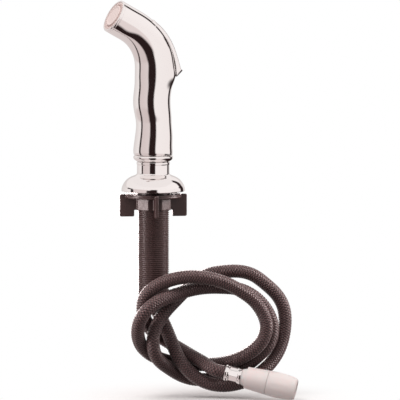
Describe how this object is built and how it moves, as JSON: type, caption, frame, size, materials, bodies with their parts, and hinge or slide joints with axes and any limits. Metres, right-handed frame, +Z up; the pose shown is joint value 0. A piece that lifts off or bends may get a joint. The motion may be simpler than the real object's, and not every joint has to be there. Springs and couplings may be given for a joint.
{
  "type": "sink side spray with deck holder",
  "caption": "Hand spray with thumb lever standing in a domed deck holder, with threaded shank, wing nut, coiled braided hose and plastic hose-end coupling.",
  "frame": {"origin": "centre of the deck hole, at the level of the deck's top face (underside of the rubber ring under the dome)", "axes": "+Z up along the shank; the spray head points to -X and the thumb lever is on the +X side; XZ is the spray's plane of symmetry"},
  "size_m": [0.1468, 0.0973, 0.3185],
  "materials": {
    "chrome_plate": "polished chrome plating on plastic and brass",
    "black_plastic": "satin moulded plastic with fine moulding grain",
    "braid": "tightly braided polymer yarn",
    "milky_plastic": "translucent milky moulded plastic",
    "face_plastic": "pale moulded plastic",
    "white_plastic": "natural acetal",
    "clear_tube": "extruded polymer tube",
    "black_rubber": "moulded rubber",
    "brass": "machined brass",
    "steel": "stainless wire and sheet"
  },
  "bodies": {
    "root": {"escutcheon": "chrome_plate", "holder_shank": "black_plastic", "holder_liner": "white_plastic", "deck_gasket": "black_rubber", "hose_coil_braid": "braid", "hose_coil_tube": "clear_tube", "lower_ferrule": "chrome_plate", "lower_nipple": "brass", "coupling_collar": "milky_plastic", "coupling_washer": "black_rubber"},
    "nut_carrier": {"friction_washer": "black_plastic"},
    "nut": {"wing_nut": "black_plastic"},
    "supply_nut": {"coupling_nut": "milky_plastic"},
    "hose_end": {"hose_riser_braid": "braid", "hose_riser_tube": "clear_tube", "upper_ferrule": "chrome_plate", "upper_nipple": "brass", "swivel_oring": "black_rubber"},
    "spray": {"spray_shell": "chrome_plate", "connector_nut": "chrome_plate", "swivel_washer": "black_rubber", "inlet_screen": "steel", "inlet_tube": "white_plastic", "inlet_ring": "white_plastic", "valve_housing": "white_plastic", "valve_cap": "white_plastic", "stem_seal": "black_rubber", "valve_spring": "steel", "head_tube": "white_plastic", "face_cup": "white_plastic", "face_gasket": "black_rubber", "spray_face": "face_plastic", "face_cap": "face_plastic", "face_bezel": "chrome_plate", "lever_pin": "steel"},
    "lever": {"thumb_lever": "chrome_plate"},
    "valve": {"valve_stem": "brass", "valve_poppet": "black_rubber"}
  },
  "joints": [
    {"name": "nut_travel", "type": "slide", "parent": "root", "child": "nut_carrier", "axis": [0, 0, -1], "range_m": [0, 0.04]},
    {"name": "nut_turn", "type": "hinge", "parent": "nut_carrier", "child": "nut", "pos_m": [0, 0, -0.01], "axis": [0, 0, -1], "range_deg": [0, 9071]},
    {"name": "coupling_spin", "type": "hinge", "parent": "root", "child": "supply_nut", "pos_m": [0.08611, -0.05781, -0.15471], "axis": [0.8391, -0.4971, -0.2209], "continuous": true},
    {"name": "spray_lift", "type": "slide", "parent": "root", "child": "hose_end", "axis": [0, 0, 1], "range_m": [0, 0.45], "deforming": ["hose_riser_braid", "hose_riser_tube"]},
    {"name": "spray_swivel", "type": "hinge", "parent": "hose_end", "child": "spray", "pos_m": [0, 0, 0.02], "axis": [0, 0, 1], "continuous": true},
    {"name": "lever_press", "type": "hinge", "parent": "spray", "child": "lever", "pos_m": [-0.0028, 0, 0.1316], "axis": [0, 1, 0], "range_deg": [0, 5], "stiffness_Nm_per_rad": 2, "springref_deg": -2.86},
    {"name": "valve_travel", "type": "slide", "parent": "spray", "child": "valve", "axis": [-1, 0, 0], "range_m": [0, 0.00276], "deforming": ["valve_spring"]}
  ],
  "couplings": [
    {"joint": "nut_turn", "follows": "nut_travel", "rad_per_m": 3957.9},
    {"joint": "valve_travel", "follows": "lever_press", "m_per_rad": 0.0316}
  ]
}
